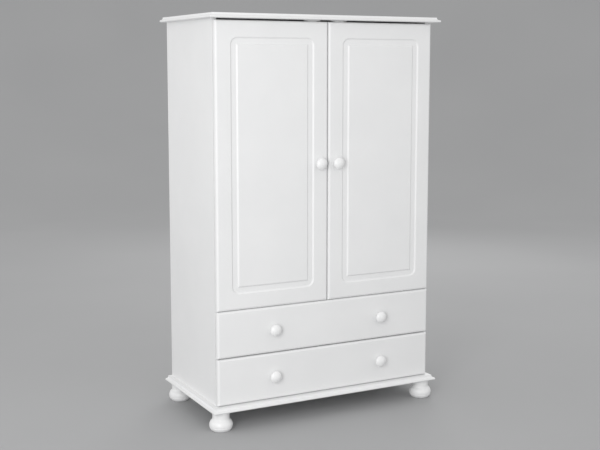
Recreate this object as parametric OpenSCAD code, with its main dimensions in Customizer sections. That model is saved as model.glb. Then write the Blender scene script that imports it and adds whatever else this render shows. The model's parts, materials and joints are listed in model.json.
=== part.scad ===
// Painted wardrobe with two framed doors over two drawers, moulded top and base boards and bun feet.
// The carcass is board joined with dowels and cam fittings, the doors hang on concealed cup hinges,
// and the drawers run on strips fixed to the sides. The front faces -Y.
// The origin is on the floor, under the middle of the box around the closed wardrobe.

/* [Overall] */
// Width over the outer faces of the sides
body_w = 890; // [700:1:1100]
// Depth from the fronts' faces to the back edge of the boards
body_d = 461; // [370:1:600]
// Height from the top of the base board to the underside of the top board
carcass_h = 1370; // [1100:1:1700]

/* [Boards and panels] */
// Thickness of the top and base boards
board_t = 18; // [16:0.5:24]
// How far the moulded boards stand out past the front and the sides
board_overhang = 27; // [18:0.5:36]
// Radius of the half-round nose on the moulded edge
nose_r = 4; // [2:0.25:6]
// Height of the small upright step above the cove of the moulded edge
step_h = 2; // [1:0.25:4]
// Thickness of the sides
side_t = 15; // [14:0.5:22]
// Thickness of the fixed floor panel of the hanging space
floor_t = 15; // [14:0.5:22]
// Thickness of the hardboard back panels
back_t = 3; // [2:0.5:6]
// Distance from the sides' outer faces to the back panels' edges
back_margin = 2; // [1:0.5:5]
// How far the back panels reach into the rebates of the boards
rebate_h = 8; // [4:0.5:12]
// Width of the flanges of the strip that joins the back panels
strip_w = 18; // [12:1:30]
// Thickness of the flanges and the web of that strip
strip_t = 1; // [1:0.1:1.5]

/* [Fronts] */
// Thickness of the doors and drawer fronts
front_t = 18; // [16:0.5:22]
// Gap between neighbouring fronts
front_gap = 3; // [2:0.25:5]
// Gap between the doors and the upper drawer front
split_gap = 1.5; // [1.5:0.25:5]
// Gap over the doors
top_gap = 5.5; // [3:0.25:8]
// Space between the fronts and the edges of the sides
front_relief = 3.5; // [3.5:0.25:6]
// Radius of the rounded front edges
front_r = 9; // [3:0.5:12]
// Distance of the panel groove from the door's edges
groove_margin = 57; // [50:0.5:100]
// Width of the panel groove
groove_w = 29; // [15:0.5:40]
// Depth of the panel groove
groove_depth = 4; // [2:0.5:6]
// Width of the groove's sloping walls
groove_slope = 6; // [1:0.5:7]
// Radius of the groove's outer corners
groove_r = 28; // [10:0.5:40]

/* [Drawers] */
// Height of one drawer bay
drawer_pitch = 172.5; // [140:0.5:210]
// Thickness of the drawer sides and backs
box_t = 12; // [10:0.5:16]
// Thickness of the drawer bottoms
bottom_t = 3; // [3:0.5:6]
// Height of the drawer bottom over the lower edges of the drawer sides
bottom_lift = 10; // [6:0.5:15]
// Depth of the grooves that hold the drawer bottom
bottom_slot = 5; // [3:0.5:7]
// Height of the drawer box over the bottom of its bay
box_lift = 12; // [8:1:30]
// Free height over the drawer box in its bay
box_headroom = 40; // [30:1:60]
// Free depth behind the drawer box
box_backroom = 30; // [10:1:60]
// Gap between a drawer side and the side of the wardrobe
box_gap = 6; // [4:0.5:8]
// How far the runner strips reach into the drawer sides
runner_reach = 6; // [4:0.5:7]
// Height of the runner strips
runner_h = 10; // [8:0.5:14]
// Distance from the sides' front edges and back edges to the runners
runner_set = 12; // [8:1:30]

/* [Knobs] */
// Radius of the knobs
knob_r = 21.5; // [17:0.5:24]
// Height of the knobs over the fronts
knob_h = 30; // [28:0.5:36]
// Radius of the knob's neck
knob_neck_r = 8; // [6:0.5:12]
// Radius of the round rim of the knob's head
knob_rim_r = 11.5; // [9:0.5:13]
// Distance of the door knobs from the middle of the wardrobe
door_knob_x = 36; // [26:0.5:60]

/* [Feet] */
// Height of the feet
foot_h = 71; // [60:0.5:100]
// Largest radius of the feet
foot_r = 42.5; // [36:0.5:55]
// Height of the widest ring over the floor
foot_belly_z = 20.5; // [16:0.5:24]
// Radius of the belly's round section
foot_belly_r = 26; // [25:0.5:32]
// Radius of the neck
foot_neck_r = 31; // [20:0.5:32]
// Radius of the collar under the base board
foot_collar_r = 33.5; // [30:0.5:40]
// Height of the collar
foot_collar_h = 8; // [4:0.5:12]
// Height of the turned ring over the floor
foot_ring_z = 15.5; // [8:0.5:18]
// Radius of the turned ring's groove
foot_ring_r = 1.75; // [1:0.25:3]
// Distance of the front feet's axes from the edges of the base board
foot_inset = 44; // [42.5:0.5:80]

/* [Hinges] */
// Radius of the hinge cups
cup_r = 17.5; // [13:0.5:20]
// Depth of the hinge cups in the doors
cup_depth = 11.5; // [10:0.25:12.5]
// Wall of the hinge cups
cup_wall = 0.8; // [0.6:0.1:1.5]
// Distance of the cup from the door's edge
cup_edge = 5; // [3:0.5:7]
// Distance of the hinges from the ends of the doors
hinge_end = 110; // [70:1:200]
// Length of the hinge arms behind the sides' front edges
arm_l = 58; // [52:1:70]
// Distance of the mounting plate's screws from the sides' front edges
plate_set = 37; // [28:1:42]

/* [Hanging rail] */
// Outer radius of the rail
rail_r = 12.5; // [9:0.5:15]
// Wall of the rail
rail_wall = 1; // [0.8:0.1:2]
// Distance of the rail's axis below the top board
rail_drop = 60; // [40:1:100]

/* [Catches] */
// Distance of the door catches from the middle of the wardrobe
catch_x = 55; // [45:1:120]
// Height of the catches below the top board
catch_h = 16; // [14:0.5:22]
// Depth of the catches from front to back
catch_d = 14; // [10:0.5:20]

/* [Fastenings] */
// Radius of the carcass dowels
dowel_r = 4; // [3:0.5:5]
// Length of the carcass dowels
dowel_l = 30; // [24:1:40]
// Distance of the cam fittings from the panels' edges
cam_set = 50; // [35:1:90]
// Distance of the dowels from the cam fittings beside them
dowel_step = 32; // [20:1:64]
// Radius of the cam locks
cam_r = 7.4; // [6:0.1:9]
// Depth of the cam locks
cam_t = 12; // [10:0.5:12.5]
// Distance of the cam locks from the joint
cam_reach = 34; // [24:0.5:40]
// Radius of the cam pins
pin_r = 3.5; // [2.5:0.25:4]
// Radius of the small dowels in the drawers
box_dowel_r = 3; // [2:0.25:4]
// Distance of those dowels from the edges of the drawer sides
box_dowel_in = 25; // [20:0.5:35]
// Radius of the wood screws
screw_r = 1.75; // [1.5:0.05:2.25]
// How far the wood screws reach into the boards
screw_bite = 11; // [8:0.5:12]
// Radius of the knob screws
knob_screw_r = 2; // [1.5:0.25:3]
// How far the knob screws reach into the knobs
knob_bite = 12; // [8:0.5:16]
// Radius of the bolts that hold the feet
foot_bolt_r = 4; // [3:0.5:5]
// Longest distance between the nails of the back panels
nail_step = 160; // [80:5:250]

/* [Hidden] */
$fn = 64;

white = [0.93, 0.93, 0.92];
hardboard = [0.86, 0.85, 0.82];
steel = [0.72, 0.73, 0.75];
white_plastic = [0.96, 0.96, 0.95];
beech = [0.82, 0.66, 0.45];

// Clearances: round fasteners in their holes, panels in grooves, moving parts, and cutters past a face
fit_gap = 0.1;
slot_gap = 0.3;
cut = 1;

// Places from front to back
back_y = (body_d + max(knob_h, board_overhang)) / 2;
face_y = back_y - body_d;
front_back_y = face_y + front_t;
carcass_y = front_back_y + front_relief;
panel_y = back_y - strip_t - back_t;
board_front_y = face_y - board_overhang;

// Places from the floor up
base_z = foot_h;
carcass_z = base_z + board_t;
top_z = carcass_z + carcass_h;
split_z = carcass_z + 2 * drawer_pitch;
door_z0 = split_z - front_gap / 2 + split_gap;
door_z1 = top_z - top_gap;
door_mid_z = (door_z0 + door_z1) / 2;
hinge_zs = [door_z0 + hinge_end, door_z1 - hinge_end];

// Places across, on the left half
outer_x = -body_w / 2;
inner_x = outer_x + side_t;
door_edge_x = -front_gap / 2;
door_mid_x = (outer_x + door_edge_x) / 2;

// Drawer box, in the lower bay
box_w = body_w - 2 * side_t - 2 * box_gap;
box_x = -box_w / 2;
box_z = carcass_z + box_lift;
box_h = drawer_pitch - box_lift - box_headroom;
box_back_y = panel_y - box_backroom;
runner_t = box_gap + runner_reach;
runner_z = box_z + box_h / 2;
runner_y0 = carcass_y + runner_set;
runner_y1 = panel_y - runner_set;

// Fittings
cam_ys = [carcass_y + cam_set, panel_y - cam_set];
dowel_ys = [carcass_y + cam_set + dowel_step, panel_y - cam_set - dowel_step];
board_bite = 12;              // how far dowels and pins reach into the top and base boards
side_bite = 8;                // how far they reach into the inner faces of the sides
cup_x = outer_x + cup_edge + cup_r;
flange_t = 1.2;               // flange of a hinge cup on the door's back
flange_rim = 1.5;             // flange past the cup's wall
flange_screw_x = 9.5;         // screws of the cup beside its axis
flange_screw_z = 22.5;        // and above or below it
plate_t = 2;                  // wings of the mounting plate
plate_boss_t = 5;             // its raised middle
plate_boss_h = 12;
plate_screw_z = 16;           // its screws above and below the middle
arm_wall = 1.5;               // sheet of the hinge arm
arm_nose_in = 8;              // how far the arm's nose reaches into the cup
arm_nose_t = 7;
head_r = 3.4;                 // countersunk heads of the wood screws
head_h = 1.6;
knob_head_r = 4.5;            // pan heads of the knob screws
knob_head_h = 2.5;
strike_t = 1.5;
strike_w = 30;
strike_h = 12;
catch_w = 36;
ear_w = 60;
ear_t = 3;
socket_r = 22;                // flange of a rail socket
socket_t = 2.5;
socket_wall = 2.5;
socket_depth = 12;
rail_y = (carcass_y + panel_y) / 2;
rail_z = top_z - rail_drop;
foot_bolt_up = 13;
foot_bolt_down = 36;
nail_r = 0.8;
nail_head_r = 2;
nail_head_t = 0.8;
nail_l = 20;
nail_end = 20;                // from the sides' ends to their first and last nails

// ---------------------------------------------------------------- helpers

// Draws its children once on the left half and once mirrored on the right half
module both_sides() {
    children();
    mirror([1, 0, 0]) children();
}

// Moves its children from the lower drawer bay to the upper one
module upper_bay() {
    translate([0, 0, drawer_pitch]) children();
}

// A block between two corners
module block(low, high) {
    translate(low) cube(high - low);
}

// A countersunk wood screw along +Z, its head flush with z = 0; it passes a plate of thickness t
module wood_screw(t, grow = 0) {
    cylinder(r1 = head_r + grow, r2 = screw_r + grow, h = head_h);
    cylinder(r = screw_r + grow, h = t + screw_bite + grow);
}

// Turns +Z to -Y, for what is set into the backs of the fronts
module into_front() {
    rotate([90, 0, 0]) children();
}

// Turns +Z to -X, for what is set into the left side from inside
module into_left() {
    rotate([0, -90, 0]) children();
}

// ---------------------------------------------------------------- moulded boards

// Section of a moulded edge: the nose is at u = 0, the underside at v = 0, and the board runs to u = len
module moulded_edge(len) {
    cove_r = board_t - 2 * nose_r - step_h;
    difference() {
        union() {
            translate([nose_r, 0]) square([len - nose_r, board_t]);
            translate([nose_r, nose_r]) circle(nose_r);
        }
        translate([nose_r, 2 * nose_r + cove_r]) circle(cove_r);
        translate([0, 2 * nose_r + cove_r]) square([nose_r + cove_r, step_h + cut]);
    }
}

// A board with the moulded edge on its front and both ends, its underside at z = 0
module moulded_board() {
    half_w = body_w / 2 + board_overhang;
    depth = back_y - board_front_y;
    intersection() {
        translate([0, back_y, 0]) rotate([90, 0, 0]) linear_extrude(depth) union() {
            translate([-half_w, 0]) moulded_edge(half_w);
            mirror([1, 0]) translate([-half_w, 0]) moulded_edge(half_w);
        }
        translate([-half_w, board_front_y, 0]) rotate([90, 0, 90]) linear_extrude(2 * half_w)
            moulded_edge(depth);
    }
}

// The slot in a board's back edge that takes the back panels, from z = 0 up
module back_rebate() {
    half_w = -outer_x - back_margin + slot_gap;
    block([-half_w, panel_y, 0], [half_w, back_y + cut, rebate_h]);
}

module top_board() {
    color(white) difference() {
        translate([0, 0, top_z]) moulded_board();
        translate([0, 0, top_z]) back_rebate();
        carcass_dowels(fit_gap);
        all_cam_pins(fit_gap);
        all_nails(fit_gap);
        catch_screw_set(fit_gap);
    }
}

module base_board() {
    color(white) difference() {
        translate([0, 0, base_z]) moulded_board();
        translate([0, 0, carcass_z - rebate_h]) back_rebate();
        carcass_dowels(fit_gap);
        all_cam_pins(fit_gap);
        all_nails(fit_gap);
        foot_bolt_set(fit_gap);
    }
}

// ---------------------------------------------------------------- carcass panels

module side_panel() {
    difference() {
        block([outer_x, carcass_y, carcass_z], [inner_x, panel_y, top_z]);
        carcass_dowels(fit_gap);
        side_cams(cam_r + fit_gap);
        all_cam_pins(fit_gap);
        all_nails(fit_gap);
        plate_screw_set(fit_gap);
        rail_screw_set(fit_gap);
        runner_screw_set(fit_gap);
    }
}

module left_side() {
    color(white) side_panel();
}

module right_side() {
    color(white) mirror([1, 0, 0]) side_panel();
}

// The back edge stops short of the joining strip's front flange
module floor_panel() {
    color(white) difference() {
        block([inner_x, carcass_y, split_z - floor_t / 2],
            [-inner_x, panel_y - strip_t, split_z + floor_t / 2]);
        carcass_dowels(fit_gap);
        floor_cams(cam_r + fit_gap);
        all_cam_pins(fit_gap);
        all_nails(fit_gap);
    }
}

module back_panel() {
    difference() {
        block([outer_x + back_margin, panel_y, carcass_z - rebate_h + slot_gap],
            [-strip_t / 2 - slot_gap, panel_y + back_t, top_z + rebate_h - slot_gap]);
        all_nails(fit_gap);
    }
}

module left_back_panel() {
    color(hardboard) back_panel();
}

module right_back_panel() {
    color(hardboard) mirror([1, 0, 0]) back_panel();
}

// H-shaped strip that holds the inner edges of both back panels
module back_joiner() {
    length = carcass_h - 2 * slot_gap;
    color(white_plastic) translate([0, 0, carcass_z + slot_gap]) union() {
        block([-strip_w / 2, panel_y - strip_t, 0], [strip_w / 2, panel_y, length]);
        block([-strip_t / 2, panel_y, 0], [strip_t / 2, panel_y + back_t, length]);
        block([-strip_w / 2, panel_y + back_t, 0], [strip_w / 2, back_y, length]);
    }
}

// ---------------------------------------------------------------- carcass fastenings

// Upright dowels in both ends of the sides, and level ones at the ends of the floor panel
module carcass_dowels(grow = 0) {
    side_x = (outer_x + inner_x) / 2;
    length = dowel_l + 2 * grow;
    both_sides() for (y = dowel_ys) {
        translate([side_x, y, top_z + board_bite - length + grow]) cylinder(r = dowel_r + grow, h = length);
        translate([side_x, y, carcass_z - board_bite - grow]) cylinder(r = dowel_r + grow, h = length);
        translate([inner_x - side_bite + length - grow, y, split_z]) into_left()
            cylinder(r = dowel_r + grow, h = length);
    }
}

module panel_dowels() {
    color(beech) carcass_dowels();
}

// Places a cam fitting at every joint: z = 0 is the joint and +Z leads into the panel that holds the cam
module at_side_joints() {
    both_sides() for (y = cam_ys) {
        translate([(outer_x + inner_x) / 2, y, carcass_z]) children();
        translate([(outer_x + inner_x) / 2, y, top_z]) mirror([0, 0, 1]) children();
    }
}

module at_floor_joints() {
    both_sides() for (y = cam_ys) translate([inner_x, y, split_z]) rotate([0, 90, 0]) children();
}

// Round bodies of the cam locks, opening on the inner faces of the sides and under the floor panel
module side_cams(r) {
    at_side_joints() translate([side_t / 2 - cam_t, 0, cam_reach]) rotate([0, 90, 0])
        cylinder(r = r, h = cam_t);
}

module floor_cams(r) {
    at_floor_joints() translate([floor_t / 2 - cam_t, 0, cam_reach]) rotate([0, 90, 0])
        cylinder(r = r, h = cam_t);
}

// Each cam has a hollow for the pin's head and a cross slot for the screwdriver
module cam_locks() {
    slot_w = 1.4;
    slot_l = 9;
    slot_d = 2.5;
    color(steel) difference() {
        union() {
            side_cams(cam_r);
            floor_cams(cam_r);
        }
        all_cam_pins(3 * fit_gap);
        for (turn = [0, 90]) {
            at_side_joints() translate([side_t / 2, 0, cam_reach]) rotate([turn, 0, 0])
                cube([2 * slot_d, slot_w, slot_l], center = true);
            at_floor_joints() translate([floor_t / 2, 0, cam_reach]) rotate([turn, 0, 0])
                cube([2 * slot_d, slot_w, slot_l], center = true);
        }
    }
}

// A pin: its thread reaches bite behind the joint, its head lies in the middle of the cam
module cam_pin(bite, grow) {
    head_l = 3;
    neck_l = 3;
    shank_l = cam_reach - head_l / 2 - neck_l;
    translate([0, 0, -bite - grow]) cylinder(r = pin_r + grow, h = bite + shank_l + grow);
    cylinder(r = pin_r - 1 + grow, h = shank_l + neck_l + head_l);
    translate([0, 0, shank_l + neck_l - grow]) cylinder(r = pin_r + grow, h = head_l + 2 * grow);
}

module all_cam_pins(grow = 0) {
    at_side_joints() cam_pin(board_bite, grow);
    at_floor_joints() cam_pin(side_bite, grow);
}

module cam_pins() {
    color(steel) all_cam_pins();
}

// Nails through the back panels into the sides, the floor panel and the rebates of both boards
module all_nails(grow = 0) {
    rows = ceil(carcass_h / nail_step);
    columns = ceil(-2 * inner_x / nail_step / 2);
    reach = -inner_x - strip_w;
    both_sides() {
        for (i = [0 : rows]) {
            z = carcass_z + nail_end + i * (carcass_h - 2 * nail_end) / rows;
            at_nail((outer_x + inner_x) / 2, z, grow);
        }
        for (i = [0 : columns - 1]) {
            x = -strip_w - (i + 0.5) * reach / columns;
            at_nail(x, split_z, grow);
            at_nail(x, carcass_z - rebate_h / 2, grow);
            at_nail(x, top_z + rebate_h / 2, grow);
        }
    }
}

module at_nail(x, z, grow) {
    translate([x, panel_y + back_t, z]) {
        translate([0, nail_head_t, 0]) into_front() cylinder(r = nail_head_r, h = nail_head_t);
        translate([0, grow, 0]) into_front() cylinder(r = nail_r + grow, h = nail_l + 2 * grow);
    }
}

module back_nails() {
    color(steel) all_nails();
}

// ---------------------------------------------------------------- hanging rail

module hanging_rail() {
    half_l = -inner_x - socket_t - slot_gap;
    color(steel) translate([half_l, rail_y, rail_z]) into_left() difference() {
        cylinder(r = rail_r, h = 2 * half_l);
        translate([0, 0, -cut]) cylinder(r = rail_r - rail_wall, h = 2 * half_l + 2 * cut);
    }
}

// A round flange on the side with a ring that holds the rail's end
module rail_socket() {
    difference() {
        translate([inner_x, rail_y, rail_z]) rotate([0, 90, 0]) difference() {
            union() {
                cylinder(r = socket_r, h = socket_t);
                cylinder(r = rail_r + fit_gap + socket_wall, h = socket_depth);
            }
            translate([0, 0, socket_t]) cylinder(r = rail_r + fit_gap, h = socket_depth);
        }
        rail_screw_set(fit_gap);
    }
}

module left_rail_socket() {
    color(steel) rail_socket();
}

module right_rail_socket() {
    color(steel) mirror([1, 0, 0]) rail_socket();
}

module rail_screw_set(grow = 0) {
    reach = (socket_r + rail_r + fit_gap + socket_wall) / 2;
    both_sides() for (dz = [-reach, reach]) translate([inner_x + socket_t, rail_y, rail_z + dz]) into_left()
        wood_screw(socket_t, grow);
}

module rail_screws() {
    color(steel) rail_screw_set();
}

// ---------------------------------------------------------------- feet

// A turned bun foot: a round belly with a ring cut into it, a neck and a flared collar
module bun_foot() {
    cove = foot_collar_r - foot_neck_r;
    collar_z = foot_h - foot_collar_h;
    centre_r = foot_r - foot_belly_r;
    ring_x = centre_r + sqrt(foot_belly_r ^ 2 - (foot_belly_z - foot_ring_z) ^ 2);
    difference() {
        rotate_extrude() difference() {
            union() {
                intersection() {
                    union() {
                        translate([centre_r, foot_belly_z]) circle(foot_belly_r);
                        square([centre_r, foot_belly_z + foot_belly_r]);
                    }
                    square([foot_r + cut, foot_h - foot_collar_h]);
                }
                square([foot_neck_r, foot_h]);
                translate([0, collar_z - cove]) square([foot_collar_r, foot_collar_h + cove]);
            }
            translate([foot_collar_r, collar_z - cove]) circle(cove);
            translate([ring_x, foot_ring_z]) circle(foot_ring_r);
        }
        translate([0, 0, foot_h - foot_bolt_down - fit_gap])
            cylinder(r = foot_bolt_r + fit_gap, h = foot_bolt_down + cut);
    }
}

// Axes of the feet: the front ones by their inset, the back ones flush with the back edge
foot_x = outer_x - board_overhang + foot_inset;
foot_front_y = board_front_y + foot_inset;
foot_back_y = back_y - foot_r;

module front_left_foot() {
    color(white) translate([foot_x, foot_front_y, 0]) bun_foot();
}

module front_right_foot() {
    color(white) translate([-foot_x, foot_front_y, 0]) bun_foot();
}

module back_left_foot() {
    color(white) translate([foot_x, foot_back_y, 0]) bun_foot();
}

module back_right_foot() {
    color(white) translate([-foot_x, foot_back_y, 0]) bun_foot();
}

// Bolts from the feet up into the base board
module foot_bolt_set(grow = 0) {
    both_sides() for (y = [foot_front_y, foot_back_y]) translate([foot_x, y, foot_h - foot_bolt_down])
        cylinder(r = foot_bolt_r + grow, h = foot_bolt_down + foot_bolt_up + grow);
}

module foot_bolts() {
    color(steel) foot_bolt_set();
}

// ---------------------------------------------------------------- hinges

// Places a hinge's fixed half: x = 0 is the left side's inner face, y = 0 its front edge
module at_hinges() {
    for (z = hinge_zs) translate([inner_x, carcass_y, z]) children();
}

module hinge_plate() {
    wing_h = 48;
    wing_d = 14;
    difference() {
        union() {
            block([0, plate_set - wing_d / 2, -wing_h / 2], [plate_t, plate_set + wing_d / 2, wing_h / 2]);
            block([0, plate_set - 23, -plate_boss_h / 2], [plate_boss_t, plate_set + 13, plate_boss_h / 2]);
        }
        for (dz = [-plate_screw_z, plate_screw_z]) translate([plate_t, plate_set, dz]) into_left()
            wood_screw(plate_t, fit_gap);
    }
}

module hinge_plates() {
    color(steel) both_sides() at_hinges() hinge_plate();
}

module plate_screw_set(grow = 0) {
    both_sides() at_hinges() for (dz = [-plate_screw_z, plate_screw_z]) translate([plate_t, plate_set, dz])
        into_left() wood_screw(plate_t, grow);
}

module hinge_plate_screws() {
    color(steel) plate_screw_set();
}

// A sheet channel over the plate's raised middle, with a nose that reaches into the cup
module hinge_arm() {
    inner_h = plate_boss_h + 2 * slot_gap;
    outer_h = inner_h + 2 * arm_wall;
    floor_x = plate_boss_t + slot_gap;
    nose_y = -front_relief - arm_nose_in;
    difference() {
        block([plate_t + slot_gap, slot_gap, -outer_h / 2], [floor_x + arm_wall, arm_l, outer_h / 2]);
        block([-cut, -cut, -inner_h / 2], [floor_x, arm_l + cut, inner_h / 2]);
    }
    block([floor_x, nose_y, -outer_h / 2],
        [floor_x + arm_nose_t, slot_gap + arm_wall, outer_h / 2]);
}

module hinge_arms() {
    color(steel) both_sides() at_hinges() hinge_arm();
}

// Places a hinge cup: z = 0 is the door's back face and +Z leads into the door
module at_cups() {
    for (z = hinge_zs) translate([cup_x, front_back_y, z]) into_front() children();
}

module hinge_cups() {
    flange_z = flange_screw_z + 6.5;
    difference() {
        at_cups() difference() {
            union() {
                cylinder(r = cup_r, h = cup_depth);
                translate([0, 0, -flange_t]) cylinder(r = cup_r + flange_rim, h = flange_t);
                block([flange_screw_x - 6, -flange_z, -flange_t], [flange_screw_x + 6, flange_z, 0]);
            }
            translate([0, 0, -flange_t - cut])
                cylinder(r = cup_r - cup_wall, h = cup_depth + flange_t - cup_wall + cut);
        }
        cup_screw_set(fit_gap);
    }
}

module left_hinge_cups() {
    color(steel) hinge_cups();
}

module right_hinge_cups() {
    color(steel) mirror([1, 0, 0]) hinge_cups();
}

module cup_screw_set(grow = 0) {
    at_cups() for (dz = [-flange_screw_z, flange_screw_z]) translate([flange_screw_x, dz, -flange_t])
        wood_screw(flange_t, grow);
}

// ---------------------------------------------------------------- catches

// A magnetic catch under the top board, its magnets facing the strike plate on the door
module door_catches() {
    catch_y = front_back_y + strike_t + slot_gap;
    color(white_plastic) difference() {
        both_sides() union() {
            block([-catch_x - catch_w / 2, catch_y, top_z - catch_h],
                [-catch_x + catch_w / 2, catch_y + catch_d, top_z]);
            block([-catch_x - ear_w / 2, catch_y, top_z - ear_t],
                [-catch_x + ear_w / 2, catch_y + catch_d, top_z]);
        }
        catch_screw_set(fit_gap);
    }
}

module catch_screw_set(grow = 0) {
    catch_y = front_back_y + strike_t + slot_gap + catch_d / 2;
    reach = (catch_w + ear_w) / 4;
    both_sides() for (dx = [-reach, reach]) translate([-catch_x + dx, catch_y, top_z - ear_t])
        wood_screw(ear_t, grow);
}

module catch_screws() {
    color(steel) catch_screw_set();
}

// Steel plate on the door's back that the magnets hold
module strike_plate() {
    difference() {
        block([-catch_x - strike_w / 2, front_back_y, door_z1 - strike_h - cut],
            [-catch_x + strike_w / 2, front_back_y + strike_t, door_z1 - cut]);
        strike_screw(fit_gap);
    }
}

module strike_screw(grow = 0) {
    translate([-catch_x, front_back_y + strike_t, door_z1 - cut - strike_h / 2]) into_front()
        wood_screw(strike_t, grow);
}

module left_strike_plate() {
    color(steel) strike_plate();
}

module right_strike_plate() {
    color(steel) mirror([1, 0, 0]) strike_plate();
}

// ---------------------------------------------------------------- fronts

// Section of a front from a to b: square at the back, round at the front
module front_section(a, b) {
    translate([a, face_y + front_r]) square([b - a, front_t - front_r]);
    translate([a + front_r, face_y]) square([b - a - 2 * front_r, front_r + cut]);
    translate([a + front_r, face_y + front_r]) circle(front_r);
    translate([b - front_r, face_y + front_r]) circle(front_r);
}

// A door or drawer front with all its front edges rounded
module front_board(x0, x1, z0, z1) {
    intersection() {
        translate([0, 0, z0]) linear_extrude(z1 - z0) front_section(x0, x1);
        translate([x0, 0, 0]) rotate([0, 90, 0]) linear_extrude(x1 - x0) front_section(-z1, -z0);
    }
}

// Section over the groove's floor from a to b at its foot, its sides leaning out by lean over the depth
module leaning_section(a, b, lean, low, high) {
    rate = lean / groove_depth;
    polygon([[a - rate * low, low], [b + rate * low, low], [b + rate * high, high], [a - rate * high, high]]);
}

// Draws its section from one place to another along X or along Y
module along_x(from, to) {
    translate([from, 0, 0]) rotate([90, 0, 90]) linear_extrude(to - from) children();
}

module along_y(from, to) {
    translate([0, to, 0]) rotate([90, 0, 0]) linear_extrude(to - from) children();
}

// The routed groove: round corners outside, square corners around the raised field, sloping walls
module panel_groove() {
    x0 = outer_x + groove_margin;
    x1 = door_edge_x - groove_margin;
    z0 = door_z0 + groove_margin;
    z1 = door_z1 - groove_margin;
    field = groove_w - groove_slope;
    high = groove_depth + cut;
    top_r = groove_r + groove_slope * cut / groove_depth;
    translate([0, face_y + groove_depth, 0]) into_front() difference() {
        union() {
            along_y(z0 + groove_r, z1 - groove_r)
                leaning_section(x0 + groove_slope, x1 - groove_slope, groove_slope, 0, high);
            along_x(x0 + groove_r, x1 - groove_r)
                leaning_section(z0 + groove_slope, z1 - groove_slope, groove_slope, 0, high);
            for (x = [x0 + groove_r, x1 - groove_r], z = [z0 + groove_r, z1 - groove_r]) translate([x, z, 0])
                cylinder(r1 = groove_r - groove_slope, r2 = top_r, h = high);
        }
        intersection() {
            along_y(z0, z1) leaning_section(x0 + field, x1 - field, -groove_slope, -cut, high + cut);
            along_x(x0, x1) leaning_section(z0 + field, z1 - field, -groove_slope, -cut, high + cut);
        }
    }
}

module door() {
    difference() {
        front_board(outer_x, door_edge_x, door_z0, door_z1);
        panel_groove();
        at_cups() translate([0, 0, -cut]) cylinder(r = cup_r + fit_gap, h = cup_depth + fit_gap + cut);
        cup_screw_set(fit_gap);
        strike_screw(fit_gap);
        at_knob(-door_knob_x, door_mid_z) knob_screw(fit_gap);
    }
}

module left_door() {
    color(white) door();
}

module right_door() {
    color(white) mirror([1, 0, 0]) door();
}

module left_door_screws() {
    color(steel) union() {
        cup_screw_set();
        strike_screw();
    }
}

module right_door_screws() {
    color(steel) mirror([1, 0, 0]) union() {
        cup_screw_set();
        strike_screw();
    }
}

// ---------------------------------------------------------------- knobs

// Places a knob: z = 0 is the face of the front and +Z leads away from it
module at_knob(x, z) {
    translate([x, face_y, z]) into_front() children();
}

// A turned knob: a slim neck under a round head with a slightly domed face
module knob() {
    base_h = 2;
    dome_r = 28;
    rim_z = knob_h - knob_rim_r;
    difference() {
        rotate_extrude() union() {
            square([knob_neck_r, knob_h - knob_rim_r]);
            square([knob_neck_r + 2, base_h]);
            intersection() {
                union() {
                    translate([knob_r - knob_rim_r, rim_z]) circle(knob_rim_r);
                    translate([0, rim_z - knob_rim_r]) square([knob_r - knob_rim_r, 2 * knob_rim_r]);
                }
                translate([0, knob_h - dome_r]) circle(dome_r);
                square([knob_r, knob_h]);
            }
        }
        knob_screw(fit_gap);
    }
}

// A pan-head screw from the back of the front into the knob
module knob_screw(grow = 0) {
    translate([0, 0, -front_t - knob_head_h]) {
        cylinder(r = knob_head_r, h = knob_head_h);
        cylinder(r = knob_screw_r + grow, h = front_t + knob_head_h + knob_bite + grow);
    }
}

module left_door_knob() {
    color(white) at_knob(-door_knob_x, door_mid_z) knob();
}

module right_door_knob() {
    color(white) at_knob(door_knob_x, door_mid_z) knob();
}

module left_knob_screw() {
    color(steel) at_knob(-door_knob_x, door_mid_z) knob_screw();
}

module right_knob_screw() {
    color(steel) at_knob(door_knob_x, door_mid_z) knob_screw();
}

// The drawer knobs line up with the middles of the doors
module at_drawer_knobs() {
    for (x = [door_mid_x, -door_mid_x]) at_knob(x, carcass_z + drawer_pitch / 2) children();
}

// ---------------------------------------------------------------- drawers, in the lower bay

bottom_z = box_z + bottom_lift;

module drawer_front() {
    difference() {
        front_board(outer_x, -outer_x, carcass_z + front_gap / 2, carcass_z + drawer_pitch - front_gap / 2);
        block([box_x + box_t - bottom_slot, front_back_y - bottom_slot, bottom_z],
            [-box_x - box_t + bottom_slot, front_back_y + cut, bottom_z + bottom_t + slot_gap]);
        box_dowels(fit_gap);
        at_drawer_knobs() knob_screw(fit_gap);
    }
}

// Grooved outside for the runner and inside for the bottom
module drawer_side() {
    groove_h = runner_h / 2 + slot_gap;
    difference() {
        block([box_x, front_back_y, box_z], [box_x + box_t, box_back_y, box_z + box_h]);
        block([box_x - cut, runner_y0 - runner_h / 2 - slot_gap, runner_z - groove_h],
            [box_x + runner_reach + slot_gap, box_back_y + cut, runner_z + groove_h]);
        block([box_x + box_t - bottom_slot, front_back_y - cut, bottom_z],
            [box_x + box_t + cut, box_back_y + cut, bottom_z + bottom_t + slot_gap]);
        box_dowels(fit_gap);
    }
}

module drawer_back() {
    difference() {
        block([box_x + box_t, box_back_y - box_t, bottom_z + bottom_t + slot_gap],
            [-box_x - box_t, box_back_y, box_z + box_h]);
        box_dowels(fit_gap);
    }
}

module drawer_bottom() {
    block([box_x + box_t - bottom_slot + slot_gap, front_back_y - bottom_slot + slot_gap, bottom_z],
        [-box_x - box_t + bottom_slot - slot_gap, box_back_y, bottom_z + bottom_t]);
}

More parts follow.
